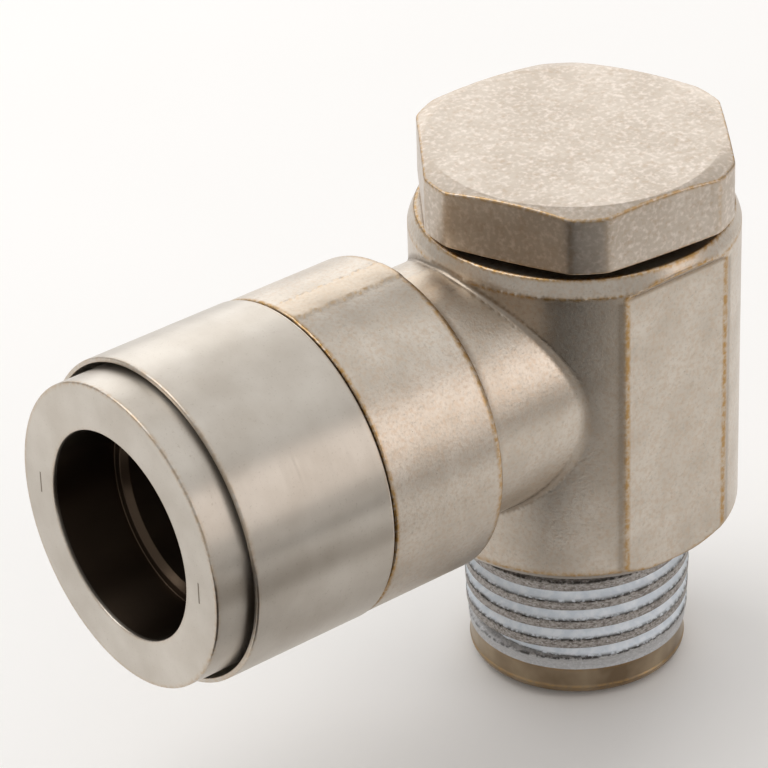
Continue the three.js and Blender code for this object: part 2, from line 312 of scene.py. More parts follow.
class Kind(Enum):
    """What a node does: its type, its inputs in the order they are given, its output, its settings."""

    PLACE = ("ShaderNodeTexCoord", (), "Object", {})
    SCALED = ("ShaderNodeMapping", ("Vector", "Scale"), 0, {})
    NOISE = ("ShaderNodeTexNoise", ("Vector", "Scale", "Detail", "Roughness"), "Fac", {})
    MASK = ("ShaderNodeAttribute", (), "Fac", {})
    RAMP = ("ShaderNodeValToRGB", ("Fac",), "Color", {})
    MIX = ("ShaderNodeMix", (0, 6, 7), 2, {"data_type": "RGBA"})
    SUM = ("ShaderNodeMath", (0, 1, 2), 0, {})
    TEST = ("ShaderNodeMath", (0, 1, 2), 0, {"use_clamp": True})
    PRODUCT = ("ShaderNodeMath", (0, 1), 0, {"operation": "MULTIPLY", "use_clamp": True})
    RANGE = ("ShaderNodeMapRange", (0, 1, 2, 3, 4), 0, {})
    BUMP = ("ShaderNodeBump", ("Height", "Distance", "Normal"), "Normal", {})
    SPLIT = ("ShaderNodeSeparateXYZ", (0,), 0, {})
    JOIN = ("ShaderNodeCombineXYZ", (0, 1), 0, {})
    LENGTH = ("ShaderNodeVectorMath", (0,), "Value", {"operation": "LENGTH"})
    TANGENT = ("ShaderNodeTangent", (), 0, {"direction_type": "RADIAL"})


class Nodes:
    """A material's node tree, with one way to add a node."""

    def __init__(self, name: str) -> None:
        """Starts a material that has only its output and its shader."""
        self.material = bpy.data.materials.new(name)
        self.material.use_nodes = True
        self.tree = self.material.node_tree
        self.tree.nodes.clear()
        output = self.tree.nodes.new("ShaderNodeOutputMaterial")
        self.shader = self.tree.nodes.new("ShaderNodeBsdfPrincipled")
        self.tree.links.new(self.shader.outputs["BSDF"], output.inputs["Surface"])

    def give(self, socket: bpy.types.NodeSocket, value: object) -> None:
        """Links another node's output to a socket, or sets the socket's own value."""
        if isinstance(value, bpy.types.NodeSocket):
            self.tree.links.new(value, socket)
        else:
            socket.default_value = value

    def add(
        self, kind: Kind, *values: object, output: Optional[str] = None, **settings: object
    ) -> bpy.types.NodeSocket:
        """Adds one node, with its settings and links.

        Args:
            kind: what the node does.
            values: numbers, colours or other nodes' outputs, in the order of the kind's inputs.
            output: the output to give, where it isn't the kind's usual one.
            settings: attributes to set on it; stops are a ramp's two places and greys.

        Returns:
            The node's output.
        """
        type_name, names, usual, fixed = kind.value
        node = self.tree.nodes.new(type_name)
        for number, (place, grey) in enumerate(settings.pop("stops", ())):
            node.color_ramp.elements[number].position = place
            node.color_ramp.elements[number].color = (grey, grey, grey, 1)
        for key, value in {**fixed, **settings}.items():
            setattr(node, key, value)
        for name, value in zip(names, values):
            self.give(node.inputs[name], value)
        return node.outputs[output or usual]

    def set(self, **inputs: object) -> None:
        """Sets or links the shader's own sockets; an underscore in a name stands for a space."""
        for key, value in inputs.items():
            self.give(self.shader.inputs[key.replace("_", " ")], value)

    def blotches(
        self, size_mm: float, detail: float = 2.0, packed: Sequence[float] = (1, 1, 1)
    ) -> bpy.types.NodeSocket:
        """Gives soft blotches of a real size, in the object's own space.

        Args:
            size_mm: the width of a blotch.
            detail: how many finer layers it has.
            packed: how much closer they lie along X, Y and Z.

        Returns:
            The pattern, from 0 to 1.
        """
        scaled = self.add(Kind.SCALED, self.add(Kind.PLACE), tuple(packed))
        return self.add(Kind.NOISE, scaled, 1 / (size_mm * MM), detail, 0.55)

    def tinted(
        self,
        under: object,
        tone: str,
        pattern: bpy.types.NodeSocket,
        start: float,
        end: float,
        most: float = 1.0,
    ) -> bpy.types.NodeSocket:
        """Lays a tone over a colour where a pattern is strong.

        Args:
            under: the colour under it.
            tone: the tone's sRGB hex colour.
            pattern: the pattern.
            start: the pattern's value where the tone starts to show.
            end: the value where it shows most.
            most: how much it shows there.

        Returns:
            The new colour.
        """
        share = self.add(Kind.RAMP, pattern, stops=((start, 0), (end, most)))
        return self.add(Kind.MIX, share, under, srgb(tone))

    def masked(
        self,
        under: object,
        tone: str,
        mask: str,
        most: float = 1.0,
        patches: Sequence[tuple] = (),
        patch_mm: float = 0.3,
    ) -> bpy.types.NodeSocket:
        """Lays a tone over a colour where one of the mesh's named masks is strong.

        Args:
            under: the colour under it.
            tone: the tone's sRGB hex colour.
            mask: the mask's name.
            most: how much of the tone shows at the most.
            patches: two stops that break it up into patches, or nothing.
            patch_mm: how wide a patch is.

        Returns:
            The new colour.
        """
        share = self.add(Kind.MASK, attribute_name=mask)
        if patches:
            broken = self.add(Kind.RAMP, self.blotches(patch_mm, 3), stops=patches)
            share = self.add(Kind.PRODUCT, share, broken)
        elif most < 1:
            share = self.add(Kind.PRODUCT, share, most)
        return self.add(Kind.MIX, share, under, srgb(tone))


@dataclass(frozen=True)
class ForgedNickel:
    """Electroless nickel over a forged and shot-blasted brass body.

    The eye sees a warm grey satin with fine pits, brown specks where the brass shows through, and
    golden worn edges. Painted shade darkens its creases, and a painted dark reflection lies beside the
    wrench flats' edges.
    """

    name: str = "forged_nickel"
    nickel: str = "#d0c7bb"
    shade: str = "#c1b7aa"
    warm: str = "#c0ab95"
    cool: str = "#a9a297"
    trimmed: str = "#d8c4ab"  # where the flash was cut off
    hollow: str = "#7a6a58"  # painted shade in the creases, and a painted dark reflection beside the wrench flats' edges
    brass: str = "#b08c58"
    speck: str = "#6f5a42"
    roughness: float = 0.3
    pit_mm: float = 0.16  # shot-blast pits

    def build(self) -> bpy.types.Material:
        """Builds the material."""
        nodes = Nodes(self.name)
        grain = nodes.blotches(self.pit_mm, 3)
        colour = nodes.tinted(srgb(self.shade), self.nickel, nodes.blotches(2.6, 3), 0.35, 0.65)
        colour = nodes.tinted(colour, self.warm, nodes.blotches(0.24, 4), 0.45, 0.68, 0.55)
        colour = nodes.tinted(colour, self.cool, grain, 0.55, 0.75, 0.5)
        colour = nodes.tinted(colour, self.speck, nodes.blotches(0.13, 1), 0.74, 0.82, 0.5)
        colour = nodes.masked(colour, self.brass, "wear", patches=((0.38, 0.3), (0.6, 1)))
        colour = nodes.masked(colour, self.trimmed, "flash", 0.35)
        # painted shade in the creases and a painted dark reflection beside the flats' edges
        colour = nodes.masked(colour, self.hollow, "hollow", 0.6)
        rough = nodes.add(Kind.RANGE, grain, 0.0, 1.0, self.roughness - 0.05, self.roughness + 0.12)
        normal = nodes.add(Kind.BUMP, grain, 0.01 * MM)
        normal = nodes.add(Kind.BUMP, nodes.blotches(0.9, 2), 0.008 * MM, normal)
        nodes.set(Base_Color=colour, Metallic=1.0, Roughness=rough, Normal=normal)
        return nodes.material


@dataclass(frozen=True)
class TurnedNickel:
    """Electroless nickel over turned brass.

    The eye sees a smooth satin with fine tool rings, faint blotches and golden worn edges; painted shade
    darkens the insides of the bores.
    """

    name: str = "turned_nickel"
    nickel: str = "#cfc8be"
    shade: str = "#c3bbb0"
    dull: str = "#8d7f6d"
    brass: str = "#b08c58"
    bore: str = "#54473b"  # painted shade: the colour that darkens the insides of the bores
    roughness: float = 0.33
    ring_mm: float = 0.09  # feed of the turning tool
    axis: Axis = Axis.ARM
    depth_mm: float = 0.0012  # how deep the tool's rings are
    grooved: float = 0.75  # how much the rings stretch what they reflect
    speckle: float = 0.0  # how strong the blotches of uneven plating are
    ticks: float = 0.0  # distance of the two index ticks from the arm's axis, or 0

    def rings(self, nodes: Nodes) -> bpy.types.NodeSocket:
        """Gives the height of the tool's rings about the piece's axis."""
        place = nodes.add(Kind.PLACE)
        x, y, z = (nodes.add(Kind.SPLIT, place, output=name) for name in "XYZ")
        if self.axis is Axis.ARM:
            above = nodes.add(Kind.SUM, z, ARM_Z * MM, operation="SUBTRACT")
            along, flat = x, nodes.add(Kind.JOIN, y, above)
        else:
            along, flat = z, nodes.add(Kind.JOIN, x, y)
        where = nodes.add(Kind.JOIN, along, nodes.add(Kind.LENGTH, flat))
        return nodes.add(Kind.NOISE, where, 1 / (self.ring_mm * MM), 3, 0.6)

    def struck(self, nodes: Nodes) -> bpy.types.NodeSocket:
        """Gives a mask of the two short ticks on the end face, one at each side of the arm."""
        half_width, half_length, face = 0.055 * MM, 0.64 * MM, -31.6 * MM
        place = nodes.add(Kind.PLACE)
        x, y, z = (nodes.add(Kind.SPLIT, place, output=name) for name in "XYZ")
        across = nodes.add(Kind.SUM, y, operation="ABSOLUTE")
        thin = nodes.add(Kind.TEST, across, self.ticks * MM, half_width, operation="COMPARE")
        short = nodes.add(Kind.TEST, z, ARM_Z * MM, half_length, operation="COMPARE")
        on_face = nodes.add(Kind.TEST, x, face, operation="LESS_THAN")
        return nodes.add(Kind.PRODUCT, nodes.add(Kind.PRODUCT, thin, short), on_face)

    def build(self) -> bpy.types.Material:
        """Builds the material."""
        nodes = Nodes(self.name)
        fine, rings = nodes.blotches(0.14, 3), self.rings(nodes)
        colour = nodes.tinted(srgb(self.shade), self.nickel, nodes.blotches(3.2, 3), 0.35, 0.65)
        colour = nodes.tinted(colour, self.dull, fine, 0.6, 0.8, 0.35)
        if self.speckle:
            colour = nodes.tinted(colour, "#b09a83", nodes.blotches(0.34, 5), 0.5, 0.72, self.speckle)
            colour = nodes.tinted(colour, "#eee3da", nodes.blotches(0.28, 5), 0.48, 0.7, self.speckle)
        colour = nodes.masked(colour, self.brass, "wear", patches=((0.38, 0.1), (0.6, 0.8)))
        # painted shade: the colour is darkened inside the bores
        colour = nodes.masked(colour, self.bore, "bore")
        rough = nodes.add(Kind.RANGE, rings, 0.0, 1.0, self.roughness - 0.05, self.roughness + 0.08)
        normal = nodes.add(Kind.BUMP, rings, self.depth_mm * MM)
        normal = nodes.add(Kind.BUMP, fine, 0.0018 * MM, normal)
        if self.ticks:
            struck = self.struck(nodes)
            colour = nodes.add(Kind.MIX, struck, colour, srgb("#7d7265"))
            left = nodes.add(Kind.TEST, 1.0, struck, operation="SUBTRACT")
            normal = nodes.add(Kind.BUMP, left, 0.03 * MM, normal)
        tangent = nodes.add(Kind.TANGENT, axis="X" if self.axis is Axis.ARM else "Z")
        nodes.set(Base_Color=colour, Metallic=1.0, Roughness=rough, Normal=normal, Tangent=tangent)
        nodes.set(Anisotropic=self.grooved, Anisotropic_Rotation=0.25)
        return nodes.material


@dataclass(frozen=True)
class CoatedThread:
    """Cut brass thread under a rubbed film of sealing resin.

    The eye sees dull grey-brown crests, mottled and scratched, with dark broken lines where the
    film ends, and a paler film round the last turn.
    """

    name: str = "coated_thread"
    film: str = "#b0aba7"
    metal: str = "#7b746e"
    pale: str = "#d3d6da"
    dark: str = "#3b3835"

    def build(self) -> bpy.types.Material:
        """Builds the material."""
        nodes = Nodes(self.name)
        colour = nodes.tinted(srgb(self.metal), self.film, nodes.blotches(0.22, 4, (1, 1, 2)), 0.38, 0.6)
        colour = nodes.tinted(colour, self.pale, nodes.blotches(0.11, 3), 0.6, 0.7, 0.8)
        height = nodes.add(Kind.SPLIT, nodes.add(Kind.PLACE), output="Z")
        last_turn = nodes.add(Kind.RANGE, height, 2.3 * MM, 3.2 * MM, 0.6, 0.0)
        colour = nodes.add(Kind.MIX, last_turn, colour, srgb(self.pale))
        colour = nodes.masked(colour, self.dark, "dark_line", patches=((0.42, 0), (0.56, 1)))
        normal = nodes.add(Kind.BUMP, nodes.blotches(0.14, 3), 0.03 * MM)
        nodes.set(Base_Color=colour, Metallic=0.55, Roughness=0.5, Normal=normal)
        return nodes.material


@dataclass(frozen=True)
class SealingResin:
    """Thread sealing resin, brushed on and dried.

    The eye sees a smooth bluish white bead with a soft sheen, thin and greyer towards its edges.
    """

    name: str = "sealing_resin"
    bead: str = "#eef4fb"
    cloudy: str = "#dbe4ee"
    thin: str = "#b4b8bd"
    dark: str = "#45433f"

    def build(self) -> bpy.types.Material:
        """Builds the material."""
        nodes = Nodes(self.name)
        colour = nodes.tinted(srgb(self.cloudy), self.bead, nodes.blotches(0.6, 3), 0.4, 0.62)
        colour = nodes.masked(colour, self.thin, "thin")
        torn = ((0.4, 0), (0.52, 1))
        colour = nodes.masked(colour, self.dark, "edge", patches=torn, patch_mm=0.28)
        normal = nodes.add(Kind.BUMP, nodes.blotches(0.35, 2), 0.02 * MM)
        nodes.set(Base_Color=colour, Metallic=0.0, Roughness=0.42, Normal=normal)
        return nodes.material


@dataclass(frozen=True)
class MouldedRubber:
    """Moulded nitrile rubber: near black, with a low waxy sheen and a faint skin."""

    name: str = "moulded_nitrile"
    colour: str = "#1c1c1e"
    skin: str = "#2a2a2c"

    def build(self) -> bpy.types.Material:
        """Builds the material."""
        nodes = Nodes(self.name)
        skin = nodes.blotches(0.2, 3)
        colour = nodes.tinted(srgb(self.colour), self.skin, skin, 0.4, 0.7)
        rough = nodes.add(Kind.RANGE, skin, 0.0, 1.0, 0.5, 0.7)
        nodes.set(Base_Color=colour, Roughness=rough, Normal=nodes.add(Kind.BUMP, skin, 0.004 * MM))
        return nodes.material


@dataclass(frozen=True)
class RolledStainless:
    """Cold-rolled stainless strip: bright and cool, with fine lines along the roll."""

    name: str = "rolled_stainless"
    colour: str = "#c2c2c0"
    shade: str = "#aeaeab"

    def build(self) -> bpy.types.Material:
        """Builds the material."""
        nodes = Nodes(self.name)
        lines = nodes.blotches(0.05, 2, (1, 1, 8))  # drawn coarser than the real lines, so that they show
        colour = nodes.tinted(srgb(self.shade), self.colour, lines, 0.4, 0.6)
        rough = nodes.add(Kind.RANGE, lines, 0.0, 1.0, 0.18, 0.32)
        normal = nodes.add(Kind.BUMP, lines, 0.001 * MM)
        nodes.set(Base_Color=colour, Metallic=1.0, Roughness=rough, Normal=normal)
        return nodes.material


@dataclass(frozen=True)
class Finishes:
    """Every material of the elbow, each built once."""

    forged: bpy.types.Material
    turned_arm: bpy.types.Material
    turned_bolt: bpy.types.Material
    turned_ring: bpy.types.Material
    turned_tip: bpy.types.Material
    coated_thread: bpy.types.Material
    resin: bpy.types.Material
    rubber: bpy.types.Material
    stainless: bpy.types.Material

    @classmethod
    def build(cls) -> "Finishes":
        """Builds them all."""
        return cls(
            forged=ForgedNickel().build(),
            turned_arm=TurnedNickel().build(),
            turned_bolt=TurnedNickel(
                name="faced_nickel", nickel="#c6bbae", shade="#b9ad9f", roughness=0.34,
                axis=Axis.BOLT, depth_mm=0.004, grooved=0.0, speckle=0.5,
            ).build(),
            turned_ring=TurnedNickel(name="struck_nickel", ticks=7.1).build(),
            turned_tip=TurnedNickel(
                name="thin_nickel", axis=Axis.BOLT, nickel="#a8977f", shade="#7d6b56"
            ).build(),
            coated_thread=CoatedThread().build(),
            resin=SealingResin().build(),
            rubber=MouldedRubber().build(),
            stainless=RolledStainless().build(),
        )


def dress_node(name: str, material: bpy.types.Material) -> None:
    """Gives a node that keeps its shape from the frame its material."""
    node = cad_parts[name]
    node.data.materials.clear()
    node.data.materials.append(material)
    log.info("%s: kept from the frame, in %s", name, material.name)


# ---- The hollow bolt ----------------------------------------------------------------------------


class Zone(Enum):
    """The parts of the bolt that have different finishes, as material numbers."""

    TURNED = 0
    THREAD = 1
    TIP = 2


@dataclass
class HollowBolt:
    """The hex-headed hollow bolt, its thread's sealant, its seals and its clip. All but the clip ride on
    the bolt.
    """

    finishes: Finishes
    flats: float = 17.0  # across the hex's flats
    corners: float = 18.54  # across its rounded corners
    head_turn: float = 24.2  # direction of one of its flats, in degrees
    head_low: float = 29.5  # height of the head's underside, and of its top
    head_high: float = field(default_factory=lambda: float(box_mm("hollow_bolt")[1][2]))
    face: float = 8.3  # radius of the flat on top
    slope: float = 16.0  # degrees of the bevel round it
    shank: float = 6.8  # radius of the shank, and of its waist where the air turns off
    waist: float = 5.6
    bore: float = 3.75
    tip: float = 6.3  # radius of the plain end, and the height where the thread begins
    tip_height: float = 1.85
    pitch: float = 1.337  # of an R1/4 thread, with its depth
    depth: float = 0.856
    thread_low: float = 2.8  # heights between which the thread is at full depth
    thread_high: float = 8.8
    taper: float = 1 / 32  # growth of its radius for each millimetre up
    groove: float = 5.7  # radius of the bottom of the seals' grooves
    seal_inner: float = 5.76  # inner radius of a seal
    upper_seal: float = 26.6  # height of the middle of a seal's groove
    lower_seal: float = 13.4
    groove_half: float = 1.0  # half the groove's height
    clip_groove: float = 6.2  # radius of the bottom of the snap ring's groove
    tip_bevel: float = 0.48  # radius of the rounding round the plain end

    def crest(self, height: np.ndarray) -> np.ndarray:
        """Gives the radius of the taper thread's crests at a height."""
        return 13.157 / 2 + (height - 7) * self.taper

    def columns(self) -> np.ndarray:
        """Gives the angles of the columns, closer together at the head's upright edges."""
        angles = list(np.radians(np.arange(0, 360, 1.5)))
        edge = math.acos(self.flats / self.corners)
        for side in range(6):
            middle = math.radians(self.head_turn + 30 + 60 * side)
            for sign in (-1, 1):
                steps = np.radians(np.arange(-1.25, 1.5, 0.25))
                angles += [middle + sign * edge + step for step in steps]
        angles = np.sort(np.mod(angles, 2 * math.pi))
        return angles[np.append(True, np.diff(angles) > math.radians(0.12))]

    def head_radius(self, angle: np.ndarray) -> tuple[np.ndarray, np.ndarray]:
        """Gives the head's radius at each angle, and how near it is to an upright edge."""
        sector = np.mod(angle - math.radians(self.head_turn) + math.pi / 6, math.pi / 3) - math.pi / 6
        flat = self.flats / 2 / np.cos(sector)
        radius = soft_min(flat, np.full_like(flat, self.corners / 2), 0.12)
        return radius, np.exp(-(((flat - self.corners / 2) / 0.05) ** 2))

    def thread_radius(self, height: np.ndarray, angle: np.ndarray) -> tuple[np.ndarray, np.ndarray]:
        """Gives the threaded end's radius, and where the dark lines along its crests lie.

        Args:
            height: heights, one row each.
            angle: angles, one column each.

        Returns:
            The radius and the mask of the dark lines, both heights by angles.
        """
        turns = (height - self.thread_low) / self.pitch - angle / (2 * math.pi)
        offset = (np.mod(turns + 0.5, 1) - 0.5) * self.pitch
        half_crest = 0.27
        flank = (np.abs(offset) - half_crest) / math.tan(math.radians(27.5))
        sunk = soft_min(soft_max(flank, np.zeros_like(flank), 0.06), np.full_like(flank, self.depth), 0.15)
        start = np.clip((height - 2.05) / 0.5, 0, 1) * np.ones_like(angle)
        finish = np.clip((self.thread_high + 0.3 - height) / 0.4, 0, 1)
        grow = start * finish
        radius = self.crest(height) - sunk * grow - (1 - start) * 0.12
        # dark lines along the upper and the lower edge of each crest
        upper = np.exp(-(((offset - half_crest - 0.02) / 0.07) ** 2))
        lower = 0.6 * np.exp(-(((offset + half_crest) / 0.05) ** 2))
        return radius, np.clip(upper + lower, 0, 1) * grow

    def head_stations(self, angle: np.ndarray) -> tuple[list, list, list]:
        """Gives the stations over the head, from the middle of its top to the shank under it.

        Args:
            angle: the columns' angles.

        Returns:
            Radii, heights and wear, one array of columns for each station.
        """
        radius, upright = self.head_radius(angle)
        one = np.ones_like(angle)
        drop = math.tan(math.radians(self.slope))
        top_edge = self.head_high - (radius - self.face) * drop
        low_edge = self.head_low + (radius - self.face) * 0.1 / (self.corners / 2 - self.face)
        across, along, wear = [], [], []

        def station(at: np.ndarray, height: np.ndarray, worn: np.ndarray) -> None:
            across.append(at)
            along.append(height)
            wear.append(worn)

        # The flat of the top, then the slope round it, the rounded upper edge, the side and the lower edge.
        for share in (0.0, 0.15, 0.35, 0.6, 0.85, 0.95, 0.985):
            station(one * self.face * share, one * self.head_high, one * 0)
        station(one * self.face * 1.003, one * self.head_high - 0.004, one * 0.12)
        rounding = 0.12
        tilt = math.radians(90 - self.slope)
        station(radius - 0.16, top_edge + 0.16 * drop - 0.005, one * 0.1)
        for share in np.linspace(0, 1, 5):
            lean = tilt * (1 - share)
            centre = radius - rounding
            height = top_edge - rounding * (1 / math.cos(math.radians(self.slope)) - drop)
            station(centre + rounding * math.cos(lean), height + rounding * math.sin(lean), one)
        station(radius, top_edge - 0.2, 0.1 * one)
        station(radius, top_edge - 0.34, 0.6 * upright)
        middle = (top_edge + low_edge) / 2
        station(radius, middle, 0.5 * upright)
        station(radius, low_edge + 0.3, 0.6 * upright)
        station(radius, low_edge + 0.16, 0.1 * one)
        for share in np.linspace(0, 1, 4):
            lean = math.radians(70) * share
            centre = radius - 0.1
            station(centre + 0.1 * math.cos(lean), low_edge + 0.1 - 0.1 * math.sin(lean), one * 0.7)
        station(one * self.face * 0.99, one * self.head_low, one * 0.1)
        station(one * self.shank, one * self.head_low, one * 0)
        return across, along, wear

    def make_bolt(self) -> None:
        """Makes the bolt in one piece, from the middle of its head to the end of its bore."""
        angle = self.columns()
        across, along, wear = self.head_stations(angle)
        one = np.ones_like(angle)
        dark_lines = [one * 0 for _ in across]
        zones = [Zone.TURNED for _ in across]

        def station(
            radius: object,
            height: float,
            worn: float = 0.0,
            dark_line: np.ndarray = one * 0,
            zone: Zone = Zone.TURNED,
        ) -> None:
            across.append(one * radius)
            along.append(one * height)
            wear.append(one * worn)
            dark_lines.append(dark_line)
            zones.append(zone)

        middle, seat = ARM_Z, self.groove_half
        shank_outline = [(self.shank, 29.0)]
        for level in (self.upper_seal, self.lower_seal):
            shank_outline += [
                (self.shank, level + seat), (self.groove, level + seat),
                (self.groove, level - seat), (self.shank, level - seat),
            ]  # fmt: skip
            if level > middle:
                shank_outline += [
                    (self.shank, middle + 4.4), (self.waist, middle + 3.8),
                    (self.waist, middle - 3.8), (self.shank, middle - 4.4),
                ]  # fmt: skip
        shank_outline += [
            (self.shank, 10.8), (self.clip_groove, 10.8), (self.clip_groove, 9.7), (self.shank, 9.7),
            (self.shank, 9.45),
        ]  # fmt: skip
        for radius, height in shank_outline:
            station(radius, height)
        for height in np.arange(9.15, self.tip_height, -0.042):
            radius, dark_line = self.thread_radius(np.array([[height]]), angle[None, :])
            station(radius[0], height, 0.0, dark_line[0], Zone.THREAD)
        bevel = self.tip_bevel
        station(self.tip + 0.02, self.tip_height - 0.05, 1.0, zone=Zone.TIP)
        station(self.tip - 0.02, self.tip_height - 0.12, 0.5, zone=Zone.TIP)
        station(self.tip - 0.06, self.tip_height - 0.3, zone=Zone.TIP)
        station(self.tip - 0.06, 0.66, zone=Zone.TIP)
        station(self.tip - 0.03, 0.59, 0.5, zone=Zone.TIP)
        station(self.tip, 0.52, 0.9, zone=Zone.TIP)
        for lean in np.radians(np.linspace(0, 90, 6)):
            worn = 0.7 if lean > 1.0 else 0.3
            radius = self.tip - bevel + bevel * math.cos(lean)
            station(radius, bevel - bevel * math.sin(lean) + 0.01, worn, zone=Zone.TIP)
        station(self.bore + 0.35, 0.01, 0.3)
        station(self.bore + 0.1, 0.15, 0.6)
        station(self.bore, 0.35)
        station(self.bore, 22.4)
        station(0.0, 24.6)
        for rows in (across, along, wear, dark_lines, zones):
            rows.reverse()
        radii, heights = np.array(across), np.array(along)
        grid = Axis.BOLT.place(radii, heights, np.broadcast_to(angle, radii.shape))
        normals = surface_normals(grid)
        normals[0], normals[-1] = (0, 0, -1), (0, 0, 1)
        normals[-7:-1] = (0, 0, 1)
        faces = grid_faces(len(across), len(angle), closed=False)
        slots = np.repeat(np.array([zone.value for zone in zones[1:]]), len(angle))
        masks = {"wear": np.array(wear).ravel(), "dark_line": np.array(dark_lines).ravel()}
        skin = Skin(grid.reshape(-1, 3), faces, normals.reshape(-1, 3), masks, slots)
        materials = [self.finishes.turned_bolt, self.finishes.coated_thread, self.finishes.turned_tip]
        piece = trimmed(skin).make("hollow_bolt_turned", "bolt", "satin_nickel", materials)
        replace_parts(piece, "hollow_bolt")

    def make_sealant(self) -> None:
        """Makes the bead of resin that climbs the thread's groove, thin and torn along its lower edge."""
        per_turn, first, last = 150, -0.58, 3.2  # sections in a turn; where it starts and ends, in turns
        root, fade = 0.7, 40  # how deep the bead reaches, and the sections over which an end grows
        thin_round = (1.0, 1.0, 0.7, 0.35, 0.1, 0, 0, 0, 0.2, 0.5, 1, 1, 1, 1)
        edge_round = (1.0, 1.0, 0.8, 0.3, 0.0, 0, 0, 0, 0, 0.3, 1, 1, 1, 1)
        count = int(per_turn * (last - first))
        random = np.random.default_rng(7)
        ragged = np.zeros(count)
        for step, size in ((3, 0.022), (9, 0.03), (40, 0.03)):
            knots = np.arange(0, count + step, step)
            ragged += size * np.interp(np.arange(count), knots, random.normal(size=len(knots)))
        low, high = -self.pitch / 2 + 0.27, self.pitch / 2 - 0.27
        rows, thin, edge = [], [], []
        for i in range(count):
            turn = first + i / per_turn
            angle = 2 * math.pi * turn
            grow = min(1.0, i / fade, (count - 1 - i) / fade)
            base = self.thread_low + self.pitch * (turn + 0.5)
            lap = low + 0.06 + ragged[i]
            section = [
                (0.2, lap - 0.01), (0.02, lap), (0.03, lap + 0.05), (0.07, low + 0.17),
                (0.11, low + 0.22), (0.17, low + 0.26), (0.27, low + 0.4), (0.36, low + 0.53),
                (0.41, high - 0.12), (0.40, high + 0.02), (0.62, high + 0.02), (root, 0.05),
                (root, -0.05), (0.3, low),
            ]  # fmt: skip
            for j, (below, along) in enumerate(section):
                deep = below + (1 - grow) * (root - below)
                radius = float(self.crest(base)) - deep
                height = base + along * (0.1 + 0.9 * grow)
                rows.append((radius * math.cos(angle), radius * math.sin(angle), height))
                thin.append(thin_round[j])
                edge.append(edge_round[j])
        points = np.array(rows).reshape(count, -1, 3)
        sides = points.shape[1]
        i, j = np.arange(count - 1)[:, None], np.arange(sides)[None, :]
        beside = (j + 1) % sides
        corners = (i * sides + j, (i + 1) * sides + j, (i + 1) * sides + beside, i * sides + beside)
        faces = np.stack(np.broadcast_arrays(*corners), -1).reshape(-1, 4).tolist()
        faces += [list(range(sides)), list(range((count - 1) * sides, count * sides))[::-1]]
        normals = np.cross(np.gradient(points, axis=0), np.roll(points, -1, 1) - np.roll(points, 1, 1))
        normals /= np.maximum(np.linalg.norm(normals, axis=-1, keepdims=True), 1e-9)
        masks = {"thin": np.array(thin), "edge": np.array(edge)}
        skin = Skin(points.reshape(-1, 3), faces, normals.reshape(-1, 3), masks)
        piece = skin.make("thread_sealant_bead", "bolt", "sealing_resin", [self.finishes.resin])
        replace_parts(piece, "thread_sealant")

    def make_seals(self) -> None:
        """Makes the two O-rings and dresses the snap ring, which keep the body sealed and in place."""
        for name, height in (("upper_o_ring", self.upper_seal), ("lower_o_ring", self.lower_seal)):
            low, high = box_mm(name)
            outer, half = float(high[0]), float(high[2] - low[2]) / 2
            lean = np.linspace(0, 2 * math.pi, 24, endpoint=False)
            centre, reach = (outer + self.seal_inner) / 2, (outer - self.seal_inner) / 2
            across, along = centre + reach * np.cos(lean), height + half * np.sin(lean)
            outline = Outline(across, along, np.cos(lean), np.sin(lean), np.zeros_like(lean))
            skin = turned(outline, Axis.BOLT, 96)
            piece = skin.make(name + "_moulded", "bolt", "seal_rubber", [self.finishes.rubber])
            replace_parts(piece, name)
        dress_node("retaining_ring", self.finishes.stainless)

    def build(self) -> None:
        """Makes everything that stays on the bolt."""
        self.make_bolt()
        self.make_sealant()
        self.make_seals()


# ---- The forged body ----------------------------------------------------------------------------


